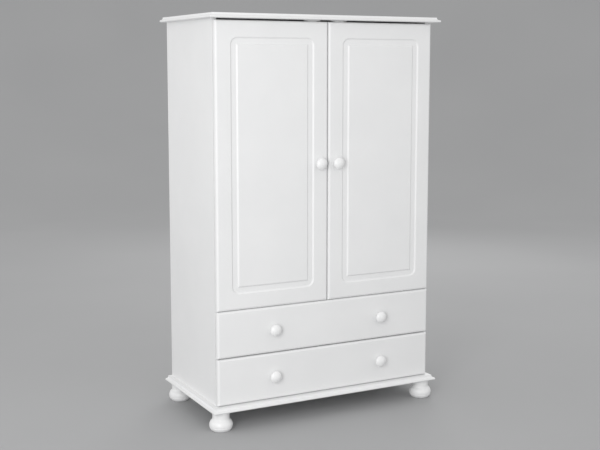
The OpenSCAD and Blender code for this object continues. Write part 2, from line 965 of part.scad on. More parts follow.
// Dowels from the sides into the front, and from the sides into the back
module box_dowels(grow = 0) {
    front_bite = 10;
    front_l = 26;
    back_bite = 8;
    back_l = 24;
    both_sides() for (z = [box_z + box_dowel_in, box_z + box_h - box_dowel_in]) {
        translate([box_x + box_t / 2, front_back_y - front_bite + front_l + grow, z]) into_front()
            cylinder(r = box_dowel_r + grow, h = front_l + 2 * grow);
        translate([box_x + box_t - back_bite - grow, box_back_y - box_t / 2, z]) rotate([0, 90, 0])
            cylinder(r = box_dowel_r + grow, h = back_l + 2 * grow);
    }
}

module lower_drawer_front() {
    color(white) drawer_front();
}

module lower_drawer_left_side() {
    color(white) drawer_side();
}

module lower_drawer_right_side() {
    color(white) mirror([1, 0, 0]) drawer_side();
}

module lower_drawer_back() {
    color(white) drawer_back();
}

module lower_drawer_bottom() {
    color(hardboard) drawer_bottom();
}

module lower_drawer_knobs() {
    color(white) at_drawer_knobs() knob();
}

module lower_drawer_knob_screws() {
    color(steel) at_drawer_knobs() knob_screw();
}

module lower_drawer_dowels() {
    color(beech) box_dowels();
}

module upper_drawer_front() {
    upper_bay() lower_drawer_front();
}

module upper_drawer_left_side() {
    upper_bay() lower_drawer_left_side();
}

module upper_drawer_right_side() {
    upper_bay() lower_drawer_right_side();
}

module upper_drawer_back() {
    upper_bay() lower_drawer_back();
}

module upper_drawer_bottom() {
    upper_bay() lower_drawer_bottom();
}

module upper_drawer_knobs() {
    upper_bay() lower_drawer_knobs();
}

module upper_drawer_knob_screws() {
    upper_bay() lower_drawer_knob_screws();
}

module upper_drawer_dowels() {
    upper_bay() lower_drawer_dowels();
}

// ---------------------------------------------------------------- runners

// Draws its children in the lower bay and in the upper one
module both_bays() {
    children();
    upper_bay() children();
}

// A strip on the left side with a round front end
module runner_strip() {
    union() {
        block([inner_x, runner_y0, runner_z - runner_h / 2],
            [inner_x + runner_t, runner_y1, runner_z + runner_h / 2]);
        translate([inner_x, runner_y0, runner_z]) rotate([0, 90, 0]) cylinder(r = runner_h / 2, h = runner_t);
    }
}

module left_runners() {
    color(white_plastic) both_bays() difference() {
        runner_strip();
        runner_screw_row(fit_gap);
    }
}

module right_runners() {
    mirror([1, 0, 0]) left_runners();
}

// Three screws through a strip, their heads flush with its inner face
module runner_screw_row(grow = 0) {
    first = 30;
    for (y = [runner_y0 + first, (runner_y0 + runner_y1) / 2, runner_y1 - first])
        translate([inner_x + runner_t, y, runner_z]) into_left() wood_screw(runner_t, grow);
}

module runner_screw_set(grow = 0) {
    both_sides() both_bays() runner_screw_row(grow);
}

module runner_screws() {
    color(steel) runner_screw_set();
}

// ---------------------------------------------------------------- nodes

top_board();
base_board();
left_side();
right_side();
floor_panel();
left_back_panel();
right_back_panel();
back_joiner();
back_nails();
panel_dowels();
cam_locks();
cam_pins();
hanging_rail();
left_rail_socket();
right_rail_socket();
rail_screws();
front_left_foot();
front_right_foot();
back_left_foot();
back_right_foot();
foot_bolts();
hinge_plates();
hinge_arms();
hinge_plate_screws();
door_catches();
catch_screws();
left_runners();
right_runners();
runner_screws();
left_door();
left_hinge_cups();
left_door_knob();
left_knob_screw();
left_strike_plate();
left_door_screws();
right_door();
right_hinge_cups();
right_door_knob();
right_knob_screw();
right_strike_plate();
right_door_screws();
upper_drawer_front();
upper_drawer_left_side();
upper_drawer_right_side();
upper_drawer_back();
upper_drawer_bottom();
upper_drawer_knobs();
upper_drawer_knob_screws();
upper_drawer_dowels();
lower_drawer_front();
lower_drawer_left_side();
lower_drawer_right_side();
lower_drawer_back();
lower_drawer_bottom();
lower_drawer_knobs();
lower_drawer_knob_screws();
lower_drawer_dowels();
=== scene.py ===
# %% [markdown]
# # A white wardrobe: two framed doors over two drawers
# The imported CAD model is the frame: it says where every piece stands and how it moves. This lesson
# builds what the eye meets around that frame. Boards and fronts are made as stacked outlines, turned
# pieces and everything that repeats are made with Geometry Nodes, and small fittings are copies of the
# CAD solids whose edges are broken. All lengths are metres.

import json
import math

import bmesh
import bpy
from mathutils import Matrix, Vector

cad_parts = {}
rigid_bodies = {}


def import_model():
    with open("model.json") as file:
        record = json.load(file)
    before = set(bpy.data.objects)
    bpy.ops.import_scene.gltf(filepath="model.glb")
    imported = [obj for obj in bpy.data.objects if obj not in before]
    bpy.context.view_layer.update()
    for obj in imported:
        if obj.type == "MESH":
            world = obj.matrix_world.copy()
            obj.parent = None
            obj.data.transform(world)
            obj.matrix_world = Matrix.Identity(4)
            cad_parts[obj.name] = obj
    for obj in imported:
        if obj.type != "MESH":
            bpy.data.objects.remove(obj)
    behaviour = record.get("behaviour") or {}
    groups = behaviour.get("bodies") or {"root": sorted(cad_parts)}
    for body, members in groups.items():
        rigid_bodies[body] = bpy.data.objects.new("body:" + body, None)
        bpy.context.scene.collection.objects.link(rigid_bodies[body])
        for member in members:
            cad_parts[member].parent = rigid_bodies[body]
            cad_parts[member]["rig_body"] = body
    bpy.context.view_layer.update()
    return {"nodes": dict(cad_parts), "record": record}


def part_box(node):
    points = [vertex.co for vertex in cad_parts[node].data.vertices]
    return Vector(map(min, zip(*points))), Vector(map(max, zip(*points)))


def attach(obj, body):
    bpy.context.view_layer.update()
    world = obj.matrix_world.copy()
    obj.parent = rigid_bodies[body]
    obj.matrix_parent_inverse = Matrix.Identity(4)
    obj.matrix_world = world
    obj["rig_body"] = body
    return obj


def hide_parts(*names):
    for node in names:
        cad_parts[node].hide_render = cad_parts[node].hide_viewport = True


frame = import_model()
MM = 0.001
scene = bpy.context.scene
slot_of = {part["node"]: part["material_slot"] for part in frame["record"]["subparts"]}
body_of = {node: solid["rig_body"] for node, solid in frame["nodes"].items()}

# %% [markdown]
# ## Camera
# A furniture picture is taken from a few metres away with a longish lens, so that upright edges stay
# nearly parallel. The camera stands to the left of the wardrobe at chest height and looks slightly
# down. A small lens shift lifts the object in the frame, instead of tilting the camera further.

# %% Set the camera
CAMERA_PLACE = (-1.896, -3.6045, 1.295)
CAMERA_TURN, CAMERA_TILT = 27.7, 7.2        # degrees to the right and down
SENSOR_MM, LENS_MM, LENS_SHIFT = 36.0, 64.0, -0.04

camera_data = bpy.data.cameras.new("camera")
camera_data.sensor_width = SENSOR_MM
camera_data.lens = LENS_MM
camera_data.shift_y = LENS_SHIFT
camera = bpy.data.objects.new("camera", camera_data)
camera.location = CAMERA_PLACE
camera.rotation_euler = (math.radians(90 - CAMERA_TILT), 0.0, math.radians(-CAMERA_TURN))
scene.collection.objects.link(camera)
scene.camera = camera
print("camera at", tuple(camera.location), "with a", camera_data.lens, "mm lens")

# %% [markdown]
# ## Studio
# White furniture needs a lot of even light and one soft direction, or its mouldings vanish. An even
# sky does most of the filling. A key softbox at the left front draws the edges, a wider one stands
# farther out and lower for the drawers and feet, and one at the back lights what faces away. All three
# clear the floor, so none makes a hard bright spot on it.

# %% Light the studio
SKY_STRENGTH = 0.775
SOFTBOXES = (  # name, place, target, size in metres, watts
    ("key_softbox", (-2.5, -2.55, 1.7), (-0.1, -0.1, 0.7), 1.2, 28.5),
    ("low_softbox", (-3.2, -3.5, 0.8), (0.0, -0.2, 0.2), 1.5, 39.0),
    ("back_softbox", (2.2, 3.0, 2.2), (0.0, 0.2, 0.7), 1.6, 22.0),
)

scene.view_settings.view_transform = "Standard"
world = bpy.data.worlds.new("even_sky")
world.use_nodes = True
world.node_tree.nodes["Background"].inputs["Color"].default_value = (1.0, 1.0, 1.0, 1.0)
world.node_tree.nodes["Background"].inputs["Strength"].default_value = SKY_STRENGTH
scene.world = world


def softbox(name, place, target, size, watts):
    """A square area light at a place, turned to a target."""
    data = bpy.data.lights.new(name, "AREA")
    data.shape, data.size, data.energy = "SQUARE", size, watts
    lamp = bpy.data.objects.new(name, data)
    lamp.location = place
    lamp.rotation_euler = (Vector(target) - Vector(place)).to_track_quat("-Z", "Y").to_euler()
    lamp.visible_camera = False
    scene.collection.objects.link(lamp)


for row in SOFTBOXES:
    softbox(*row)

# %% [markdown]
# ## A short way to write node trees
# Shader trees and geometry trees are wired the same way: a node, its settings, and what feeds each
# input. One helper does all three, so that a recipe below reads from top to bottom.


# %% Node helper
def add(tree, kind, feeds=None, **settings):
    """Adds a node; a feed is either a constant or the socket that drives the input."""
    made = tree.nodes.new(kind)
    for key, value in settings.items():
        setattr(made, key, value)
    for key, value in (feeds or {}).items():
        if isinstance(value, bpy.types.NodeSocket):
            tree.links.new(value, made.inputs[key])
        else:
            made.inputs[key].default_value = value
    return made


print("node helper ready:", add.__name__)

# %% [markdown]
# ## Random grey
# Nothing real has one even tone. Noise makes a grey that wanders from place to place, and most of its
# values lie between about 0.3 and 0.7. That span is stretched to a range of roughness or of colour.

# %% Random grey, and what it drives
GREY_LOW, GREY_HIGH = 0.3, 0.7
NOISE_PER_SPOT = 0.5        # noise scale times spot size, in metres


def speckle(tree, place, size, detail=2.0, stretch=(1.0, 1.0, 1.0)):
    """Soft random grey from 0 to 1 whose spots are about size across; stretch draws them out."""
    turned = add(tree, "ShaderNodeMapping", {"Vector": place, "Scale": stretch})
    return add(tree, "ShaderNodeTexNoise", {"Vector": turned.outputs["Vector"],
                                            "Scale": NOISE_PER_SPOT / size,
                                            "Detail": detail}).outputs["Fac"]


def between(tree, factor, low, high):
    """Maps a random grey to a range of roughness."""
    return add(tree, "ShaderNodeMapRange", {"Value": factor, "From Min": GREY_LOW,
                                            "From Max": GREY_HIGH, "To Min": low,
                                            "To Max": high}).outputs["Result"]


def tint(tree, factor, dark, light):
    """Blends two colours by a random grey."""
    ramp = add(tree, "ShaderNodeValToRGB", {"Fac": factor})
    for stop, place, colour in zip(ramp.color_ramp.elements, (GREY_LOW, GREY_HIGH), (dark, light)):
        stop.position, stop.color = place, (*colour, 1.0)
    return ramp.outputs["Color"]


print("random grey spans", GREY_LOW, "to", GREY_HIGH)


# %% Start a finish
def start_finish(name, **constants):
    """An empty finish: its tree, its shader and the point's place on the piece."""
    finish = bpy.data.materials.new(name)
    finish.use_nodes = True
    tree = finish.node_tree
    shader = tree.nodes["Principled BSDF"]
    for socket, value in constants.items():
        shader.inputs[socket.replace("_", " ")].default_value = value
    return finish, tree, shader, add(tree, "ShaderNodeTexCoord").outputs["Object"]


def relief(tree, shader, height, depth):
    """Sends a height pattern to the shader's normal; depth is the height of its peaks."""
    bump = add(tree, "ShaderNodeBump", {"Height": height, "Distance": depth, "Strength": 1.0})
    tree.links.new(bump.outputs["Normal"], shader.inputs["Normal"])


print("finish helpers ready:", start_finish.__name__, relief.__name__)

# %% [markdown]
# ## Floor and backdrop
# The floor is a matt sheet with a trace of unevenness in its tone. The backdrop is a bowl of the same
# finish that takes up the floor's slope where it starts, so the seam can't be seen. Only the camera
# sees the bowl: it hides the horizon from every side and blocks no light.

# %% Make the stage
PAPER_DARK, PAPER_LIGHT, PAPER_CLOUDS = (0.415, 0.417, 0.422), (0.43, 0.432, 0.436), 0.6
INNER_RINGS, FLAT_R, BOWL_R, WALL_H = (0.5, 2.0), 5.2, 4.0, 8.0
SPOKES, BOWL_STEP = 96, 3   # facets of a ring, and degrees from ring to ring up the bowl

stage_paper, tree, shader, place = start_finish("studio_paper", Roughness=0.85, Specular_IOR_Level=0.2)
tree.links.new(tint(tree, speckle(tree, place, PAPER_CLOUDS), PAPER_DARK, PAPER_LIGHT),
               shader.inputs["Base Color"])


def disc_of_rings(rings, spokes=SPOKES):
    """A surface of revolution about the Z axis from (radius, height) pairs, open in the middle."""
    bm = bmesh.new()
    loops = []
    for radius, height in rings:
        loops.append([bm.verts.new((radius * math.cos(2 * math.pi * k / spokes),
                                    radius * math.sin(2 * math.pi * k / spokes), height))
                      for k in range(spokes)])
    for inner, outer in zip(loops, loops[1:]):
        for k in range(spokes):
            bm.faces.new((inner[k], outer[k], outer[(k + 1) % spokes], inner[(k + 1) % spokes]))
    return bm, loops


bm, loops = disc_of_rings([(radius, 0.0) for radius in (*INNER_RINGS, FLAT_R)])
bm.faces.new(loops[0])
floor_mesh = bpy.data.meshes.new("studio_floor")
bm.to_mesh(floor_mesh)
bm.free()
curve = [(FLAT_R + BOWL_R * math.sin(t), BOWL_R * (1 - math.cos(t)))
         for t in [math.radians(a) for a in range(0, 91, BOWL_STEP)]]
bm, loops = disc_of_rings(curve + [(FLAT_R + BOWL_R, WALL_H)])
bowl_mesh = bpy.data.meshes.new("studio_bowl")
bm.to_mesh(bowl_mesh)
bm.free()
for mesh in (floor_mesh, bowl_mesh):
    mesh.materials.append(stage_paper)
    mesh.shade_smooth()
    thing = bpy.data.objects.new(mesh.name, mesh)
    scene.collection.objects.link(thing)
bowl = bpy.data.objects["studio_bowl"]
bowl.visible_diffuse = bowl.visible_glossy = False
bowl.visible_shadow = bowl.visible_transmission = False
print("stage: floor to", FLAT_R, "m, bowl to", FLAT_R + BOWL_R, "m")

# %% [markdown]
# ## Finishes
# One recipe for each finish in the record. Sprayed paint on fibreboard is flat white with the faint
# pebbling called orange peel; foil on chipboard is smoother and shows a trace of pressed grain; turned
# pieces keep fine rings from the lathe. Metals get their look from roughness more than from colour.

# %% The recipe for paint
PAINT_DARK, PAINT_LIGHT, PAINT_ROUGH = (0.825, 0.828, 0.83), (0.85, 0.852, 0.853), (0.44, 0.54)
CLOUD_SIZE, SHEEN_SIZE, PEEL_SIZE, PORE_SIZE = 0.09, 0.02, 0.0011, 0.0015
PEEL_DEPTH, RING_SCALE = 0.00003, 900.0
RING_SHARE, PORE_SHARE = 0.6, 0.7       # of the relief, where a piece has turning marks or grain


def paint(name, spread=0.0, ring_axis=None, dark=PAINT_DARK, light=PAINT_LIGHT, rough=PAINT_ROUGH):
    """Satin paint; spread is the stretch of its grain, ring_axis the axis of a turned piece."""
    finish, tree, shader, place = start_finish(name, Specular_IOR_Level=0.45)
    clouds = speckle(tree, place, CLOUD_SIZE, 3.0)
    tree.links.new(tint(tree, clouds, dark, light), shader.inputs["Base Color"])
    tree.links.new(between(tree, speckle(tree, place, SHEEN_SIZE), *rough), shader.inputs["Roughness"])
    peel = speckle(tree, place, PEEL_SIZE, 1.0)
    if ring_axis:
        along = add(tree, "ShaderNodeSeparateXYZ", {"Vector": place}).outputs[ring_axis]
        rings = add(tree, "ShaderNodeTexNoise", {"W": along, "Scale": RING_SCALE, "Detail": 1.0},
                    noise_dimensions="1D").outputs["Fac"]
        peel = add(tree, "ShaderNodeMix", {"Factor": RING_SHARE, 2: peel, 3: rings}).outputs["Result"]
    if spread:
        pores = speckle(tree, place, PORE_SIZE, 2.0, (1.0, 1.0, 1.0 / spread))
        peel = add(tree, "ShaderNodeMix", {"Factor": PORE_SHARE, 2: peel, 3: pores}).outputs["Result"]
    relief(tree, shader, peel, PEEL_DEPTH)
    return finish


print("paint has orange peel of", round(PEEL_SIZE / MM, 2), "mm")

# %% Painted finishes
TURNED = dict(dark=(0.86, 0.862, 0.863), light=(0.88, 0.882, 0.883), rough=(0.28, 0.38))
finishes = {
    "painted_moulding": paint("painted_moulding"),
    "painted_turning": paint("painted_turning", ring_axis="Z", **TURNED),
    "foiled_board": paint("foiled_board", spread=30.0, rough=(0.38, 0.46)),
    "white_hardboard": paint("white_hardboard", dark=(0.76, 0.757, 0.745),
                             light=(0.80, 0.797, 0.785), rough=(0.55, 0.7)),
    "white_plastic": paint("white_plastic", dark=(0.86, 0.862, 0.86),
                           light=(0.875, 0.877, 0.875), rough=(0.3, 0.36)),
}
knob_paint = paint("painted_turning_knobs", ring_axis="Y", **TURNED)
print("painted finishes:", sorted(finishes))


# %% Metal finishes
def metal(name, dark, light, rough, grain, depth):
    """Bare or plated metal whose patches and grain are about grain across."""
    finish, tree, shader, place = start_finish(name, Metallic=1.0)
    patches = speckle(tree, place, grain * 6, 2.0)
    tree.links.new(tint(tree, patches, dark, light), shader.inputs["Base Color"])
    tree.links.new(between(tree, speckle(tree, place, grain * 3), *rough), shader.inputs["Roughness"])
    relief(tree, shader, speckle(tree, place, grain, 2.0), depth)
    return finish


finishes["nickel_plated_steel"] = metal("nickel_plated_steel", (0.68, 0.67, 0.64), (0.78, 0.77, 0.74),
                                        (0.2, 0.32), 0.0008, 0.000012)
finishes["zinc_plated_steel"] = metal("zinc_plated_steel", (0.62, 0.63, 0.66), (0.76, 0.77, 0.78),
                                      (0.26, 0.4), 0.0006, 0.00001)
finishes["cast_zinc"] = metal("cast_zinc", (0.52, 0.53, 0.54), (0.64, 0.65, 0.66),
                              (0.42, 0.56), 0.0005, 0.00003)
finishes["chromed_steel"] = metal("chromed_steel", (0.76, 0.77, 0.78), (0.82, 0.83, 0.84),
                                  (0.06, 0.16), 0.004, 0.000004)
print("finishes so far:", len(finishes))

# %% Beech for the dowels
FLECK_SIZE, FLECK_STRETCH, FLECK_DEPTH = 0.0008, (1.0, 1.0, 0.12), 0.00004
BEECH_DARK, BEECH_LIGHT = (0.66, 0.49, 0.31), (0.79, 0.63, 0.44)

beech, tree, shader, place = start_finish("beech", Roughness=0.6)
flecks = speckle(tree, place, FLECK_SIZE, 3.0, FLECK_STRETCH)
tree.links.new(tint(tree, flecks, BEECH_DARK, BEECH_LIGHT), shader.inputs["Base Color"])
relief(tree, shader, flecks, FLECK_DEPTH)
finishes["beech"] = beech
print("all finishes:", sorted(finishes), "missing:", sorted(set(slot_of.values()) - set(finishes)))

# %% [markdown]
# ## Putting a piece on its body
# Every piece ends the same way: normals out, sharp corners broken by a small bevel, shading smooth
# across curves and flat across faces, then it rides on the CAD body whose nodes it stands for. The
# modifiers are turned into plain mesh.


# %% Settle a piece on its body
def settle(thing):
    """Turns a piece and its modifiers into one plain mesh."""
    graph = bpy.context.evaluated_depsgraph_get()
    whole = bpy.data.meshes.new_from_object(thing.evaluated_get(graph), preserve_all_data_layers=True,
                                            depsgraph=graph)
    thing.modifiers.clear()
    old, thing.data = thing.data, whole
    whole.name = thing.name
    bpy.data.meshes.remove(old)


def stand_for(thing, finish, *nodes):
    """Gives a piece its finish and its body, and hides the CAD nodes it stands for."""
    if not thing.data.materials:
        thing.data.materials.append(finish)
    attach(thing, body_of[nodes[0]])
    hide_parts(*nodes)


print("ready:", settle.__name__, stand_for.__name__)

# %% Make a piece
WELD, BEVEL_ANGLE, SHARP_ANGLE = 2e-6, 35, 38       # metres, degrees, degrees


def make(name, bm, finish, nodes, arris=0.0, steps=2, cutters=()):
    """A piece from a closed bmesh: cutters are taken out of it, then edges are broken by arris."""
    bmesh.ops.remove_doubles(bm, verts=bm.verts, dist=WELD)
    bmesh.ops.recalc_face_normals(bm, faces=bm.faces)
    mesh = bpy.data.meshes.new(name)
    bm.to_mesh(mesh)
    bm.free()
    thing = bpy.data.objects.new(name, mesh)
    scene.collection.objects.link(thing)
    mesh.materials.append(finish)
    for cutter in cutters:
        cut = thing.modifiers.new("cut", "BOOLEAN")
        cut.operation, cut.object, cut.solver = "DIFFERENCE", cutter, "EXACT"
    if arris:
        soft = thing.modifiers.new("arris", "BEVEL")
        soft.width, soft.segments, soft.limit_method = arris, steps, "ANGLE"
        soft.angle_limit = math.radians(BEVEL_ANGLE)
    mesh.shade_smooth()
    settle(thing)
    thing.data.set_sharp_from_angle(angle=math.radians(SHARP_ANGLE))
    flat = thing.modifiers.new("even", "WEIGHTED_NORMAL")
    flat.keep_sharp = True
    settle(thing)
    for cutter in cutters:
        bpy.data.objects.remove(cutter)
    stand_for(thing, finish, *nodes)
    print(name, len(thing.data.polygons), "faces, stands for", ", ".join(nodes))


print("edges that turn more than", BEVEL_ANGLE, "degrees are broken")


# %% Cutters
def cutter_of(bm):
    """The object that a piece is cut with; make() removes it after the cut."""
    mesh = bpy.data.meshes.new("cutter")
    bm.to_mesh(mesh)
    bm.free()
    thing = bpy.data.objects.new("cutter", mesh)
    scene.collection.objects.link(thing)
    return thing


def box_cutter(low, high):
    """A block between two corners."""
    bm = bmesh.new()
    bmesh.ops.create_cube(bm, size=1.0)
    middle, size = (Vector(low) + Vector(high)) / 2, Vector(high) - Vector(low)
    grown = Matrix.Translation(middle) @ Matrix.Diagonal((*size, 1.0))
    bmesh.ops.transform(bm, matrix=grown, verts=bm.verts)
    return cutter_of(bm)


def drill(centre, radius, depth, facets=64):
    """A cylinder along the Y axis, of that radius and depth about a centre."""
    bm = bmesh.new()
    turn = Matrix.Rotation(math.radians(90), 4, "X")
    bmesh.ops.create_cone(bm, cap_ends=True, segments=facets, radius1=radius, radius2=radius,
                          depth=depth, matrix=Matrix.Translation(centre) @ turn)
    return cutter_of(bm)


print("cutters ready:", box_cutter.__name__, drill.__name__)

# %% [markdown]
# ## Outlines and stacks
# A moulded board or a routed door is one outline repeated at many depths: each step of the cutter's
# profile is the same outline, a little smaller and a little deeper. Joining each outline to the next
# gives a closed solid with exact mitres, and every outline has the same number of points.


# %% Stack outlines
def outline(x0, x1, v0, v1, radii, steps=8):
    """Points round a rectangle; radii are the corner radii from (x0, v0) counter-clockwise."""
    points = []
    corners = ((x0, v0, 1, 1, 180), (x1, v0, -1, 1, 270), (x1, v1, -1, -1, 0), (x0, v1, 1, -1, 90))
    for (x, v, sx, sv, start), r in zip(corners, radii):
        for k in range(steps + 1):
            a = math.radians(start + 90 * k / steps)
            points.append((x + sx * r + r * math.cos(a), v + sv * r + r * math.sin(a)))
    return points


def stack(levels):
    """A closed solid from outlines of 3-D points, capped at both ends."""
    bm = bmesh.new()
    loops = [[bm.verts.new(p) for p in level] for level in levels]
    for low, high in zip(loops, loops[1:]):
        for k in range(len(low)):
            n = (k + 1) % len(low)
            bm.faces.new((low[k], low[n], high[n], high[k]))
    bm.faces.new(loops[0])
    bm.faces.new(loops[-1])
    return bm


def quarter(cu, cv, r, start, end, steps):
    """Points of an arc about (cu, cv)."""
    turns = [math.radians(start + (end - start) * k / steps) for k in range(steps + 1)]
    return [(cu + r * math.cos(turn), cv + r * math.sin(turn)) for turn in turns]


print("outline helpers ready:", outline.__name__, stack.__name__, quarter.__name__)

# %% [markdown]
# ## Moulded top and base boards
# The same router cutter ran round the front and both ends of the two boards: a half-round nose below,
# a hollow cove above it, and a small upright step at the top. The back edge stays square and has a slot
# for the back panels. The section below is walked from the underside to the top face.

# %% Make the boards
NOSE, COVE = 4 * MM, 8 * MM
CORNER_R, CORNER_LEAST, BACK_R = 0.0035, 0.0006, 0.0004
PAINTED_ARRIS = 0.0005
SLOT_ROOM, PAST = 0.0003, 0.001         # play round the panels, and how far a cut runs past a face
panel_lo, panel_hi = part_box("left_back_panel")


def moulded_board(name, node, slot_low, slot_high):
    """A board with the moulded edge on its front and both ends, and a slot from one height to another."""
    low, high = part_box(node)
    thick = high.z - low.z
    section = [(NOSE, 0.0)] + quarter(NOSE, NOSE, NOSE, -90, -270, 12)[1:]
    section += quarter(NOSE, 2 * NOSE + COVE, COVE, -90, 0, 10)[1:] + [(NOSE + COVE, thick)]
    levels = []
    for inset, height in section:
        front_r = max(CORNER_LEAST, CORNER_R - inset * 0.5)
        ring = outline(low.x + inset, high.x - inset, low.y + inset, high.y,
                       (front_r, front_r, BACK_R, BACK_R), 5)
        levels.append([(x, y, low.z + height) for x, y in ring])
    cutter = box_cutter((panel_lo.x - SLOT_ROOM, panel_lo.y, slot_low),
                        (-panel_lo.x + SLOT_ROOM, high.y + 10 * PAST, slot_high))
    make(name, stack(levels), finishes["painted_moulding"], (node,), arris=PAINTED_ARRIS,
         cutters=(cutter,))


top_lo, top_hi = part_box("top_board")
base_lo, base_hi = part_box("base_board")
moulded_board("moulded_top", "top_board", top_lo.z - PAST, panel_hi.z + SLOT_ROOM)
moulded_board("moulded_base", "base_board", panel_lo.z - SLOT_ROOM, base_hi.z + PAST)

# %% [markdown]
# ## Where separate solids stand
# A CAD node may hold several solids, such as two hinge cups or a row of screws. Walking from corner to
# corner along edges finds each of them, and its lowest and highest corner say where it stands.


# %% Find the separate solids of a node
def loose_boxes(node):
    """Lowest and highest corner of each separate solid in a CAD node."""
    bm = bmesh.new()
    bm.from_mesh(frame["nodes"][node].data)
    bmesh.ops.remove_doubles(bm, verts=bm.verts, dist=1e-6)
    left, found = set(bm.verts), []
    while left:
        todo, island = [left.pop()], []
        while todo:
            v = todo.pop()
            island.append(v.co.copy())
            for e in v.link_edges:
                w = e.other_vert(v)
                if w in left:
                    left.remove(w)
                    todo.append(w)
        found.append((Vector(map(min, *island)), Vector(map(max, *island))))
    bm.free()
    return sorted(found, key=lambda pair: tuple(round(c, 4) for c in pair[0]))


print("hinge cups in the left door:", len(loose_boxes("left_hinge_cups")))

# %% [markdown]
# ## Doors and drawer fronts
# Each front is a board whose four front edges are rounded over. A door also has a routed channel: its
# outer wall turns round corners because a cutter can't leave a square one, and the raised field inside
# it keeps square corners. Both walls slope, so that paint doesn't pool. Stacked outlines give all of it
# in one closed mesh: back, edge, round-over, channel, field.

# %% The routed channel
EDGE_R = 9 * MM
CHANNEL_IN, CHANNEL_R, CHANNEL_W, CHANNEL_DEEP, WALL_W = 57 * MM, 28 * MM, 29 * MM, 4 * MM, 6 * MM
WALL_CURVE = ((0, 0), (0.08, 0.04), (0.25, 0.22), (0.75, 0.78), (0.92, 0.96), (1, 1))
CHANNEL_OUT = [(CHANNEL_IN + WALL_W * s, CHANNEL_DEEP * d) for s, d in WALL_CURVE]
FIELD_IN = [(CHANNEL_IN + CHANNEL_W - WALL_W + WALL_W * s, CHANNEL_DEEP * (1 - d))
            for s, d in WALL_CURVE]
print("channel walls:", len(CHANNEL_OUT) + len(FIELD_IN), "outlines")

# %% Make the fronts
FRONT_CORNER_R, CORNER_GROWTH, FIELD_CORNER_R = 0.0008, 0.25, 0.0006
CUP_FLANGE = 0.0014         # how far the rim of a hinge cup reaches past its hole


def front(name, node, channel=False, hinge_cups=None):
    """A door or drawer front from its CAD box."""
    low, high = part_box(node)
    levels = []

    def level(inset, depth, r):
        ring = outline(low.x + inset, high.x - inset, low.z + inset, high.z - inset, (r,) * 4)
        levels.append([(x, low.y + depth, z) for x, z in ring])

    level(0.0, high.y - low.y, FRONT_CORNER_R)
    for inset, depth in quarter(EDGE_R, EDGE_R, EDGE_R, 180, 270, 10):
        level(inset, depth, FRONT_CORNER_R + inset * CORNER_GROWTH)
    if channel:
        for inset, depth in CHANNEL_OUT:
            level(inset, depth, CHANNEL_R - (inset - CHANNEL_IN))
        for inset, depth in FIELD_IN:
            level(inset, depth, FIELD_CORNER_R)
    cutters = []
    if hinge_cups:
        for cup_lo, cup_hi in loose_boxes(hinge_cups):
            middle = (cup_lo + cup_hi) / 2
            cutters.append(drill((middle.x, high.y, middle.z), (cup_hi.x - cup_lo.x) / 2 - CUP_FLANGE,
                                 2 * (high.y - cup_lo.y)))
    make(name, stack(levels), finishes["painted_moulding"], (node,), arris=PAINTED_ARRIS,
         cutters=cutters)


front("door_left", "left_door", channel=True, hinge_cups="left_hinge_cups")
front("door_right", "right_door", channel=True, hinge_cups="right_hinge_cups")
front("drawer_front_upper", "upper_drawer_front")
front("drawer_front_lower", "lower_drawer_front")

# %% [markdown]
# ## Turned knobs and feet
# A lathe gives one profile turned about an axis, and Geometry Nodes can say just that: a profile is
# carried round a circle, then copied to each place. The profile is drawn as points of radius and
# height. Spin in mesh code would do as well, but the tree keeps the number of facets and the places as
# inputs that a learner can change.


# %% Geometry tree helpers
def start_tree(name, **sockets):
    """An empty geometry tree with named inputs; each is (socket type, default)."""
    tree = bpy.data.node_groups.new(name, "GeometryNodeTree")
    tree.interface.new_socket("Geometry", in_out="INPUT", socket_type="NodeSocketGeometry")
    for label, (kind, default) in sockets.items():
        socket = tree.interface.new_socket(label.replace("_", " "), in_out="INPUT", socket_type=kind)
        if default is not None:
            socket.default_value = default
    tree.interface.new_socket("Geometry", in_out="OUTPUT", socket_type="NodeSocketGeometry")
    return tree, add(tree, "NodeGroupInput").outputs


def run_tree(name, points, tree, finish, nodes, **values):
    """Runs a tree on a mesh of points and keeps the result as a plain piece on its body."""
    thing = bpy.data.objects.new(name, points)
    scene.collection.objects.link(thing)
    grown = thing.modifiers.new("nodes", "NODES")
    grown.node_group = tree
    values["Finish"] = finish
    for item in tree.interface.items_tree:
        key = item.name.replace(" ", "_")
        if item.in_out == "INPUT" and key in values:
            grown[item.identifier] = values[key]
    settle(thing)
    stand_for(thing, finish, *nodes)
    print(name, len(thing.data.polygons), "faces, stands for", ", ".join(nodes))


def point_mesh(name, places, ways):
    """A mesh of loose points, each with the direction that its piece faces."""
    mesh = bpy.data.meshes.new(name)
    mesh.from_pydata([tuple(p) for p in places], [], [])
    way = mesh.attributes.new("way", "FLOAT_VECTOR", "POINT")
    for k, w in enumerate(ways):
        way.data[k].vector = w
    return mesh


